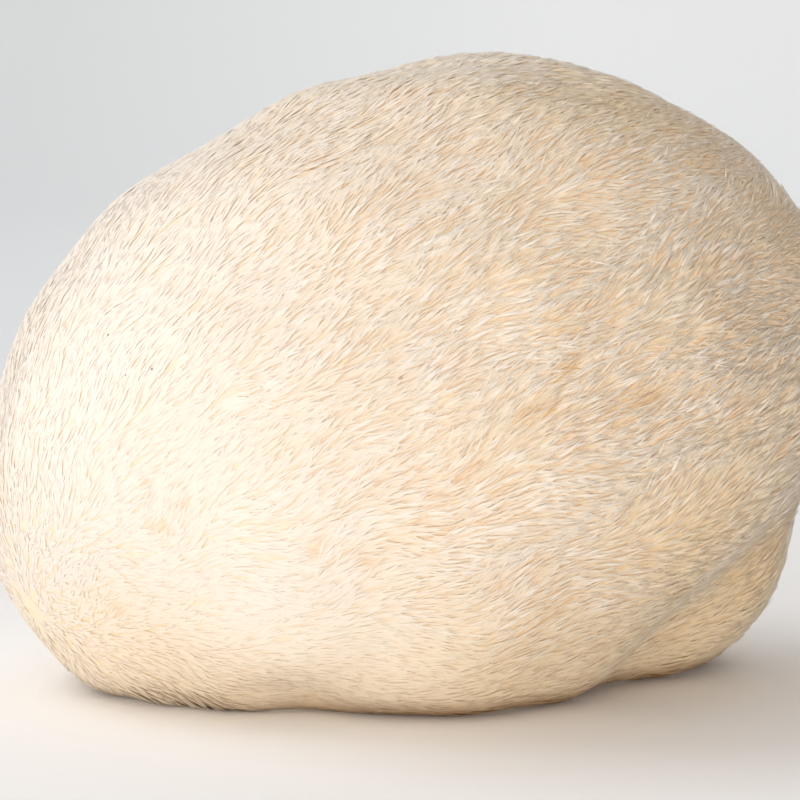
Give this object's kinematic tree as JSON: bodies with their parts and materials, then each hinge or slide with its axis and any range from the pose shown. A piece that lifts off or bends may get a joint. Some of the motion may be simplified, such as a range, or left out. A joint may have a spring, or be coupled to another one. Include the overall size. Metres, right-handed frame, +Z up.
{
  "type": "lion's mane mushroom",
  "caption": "Whole picked lion's mane mushroom: a lobed cream ball covered in short soft spines combed one way, lying on its flat cut base.",
  "frame": {"origin": "on the surface that the mushroom lies on, under the middle of its outline box", "axes": "+Z up, +X to the right and along its longest side, +Y away from the side that the picture shows"},
  "size_m": [0.1262, 0.0998, 0.0918],
  "materials": {
    "mushroom_flesh": "matte, soft, finely spined cream flesh"
  },
  "bodies": {
    "root": {"mushroom": "mushroom_flesh"}
  },
  "joints": []
}
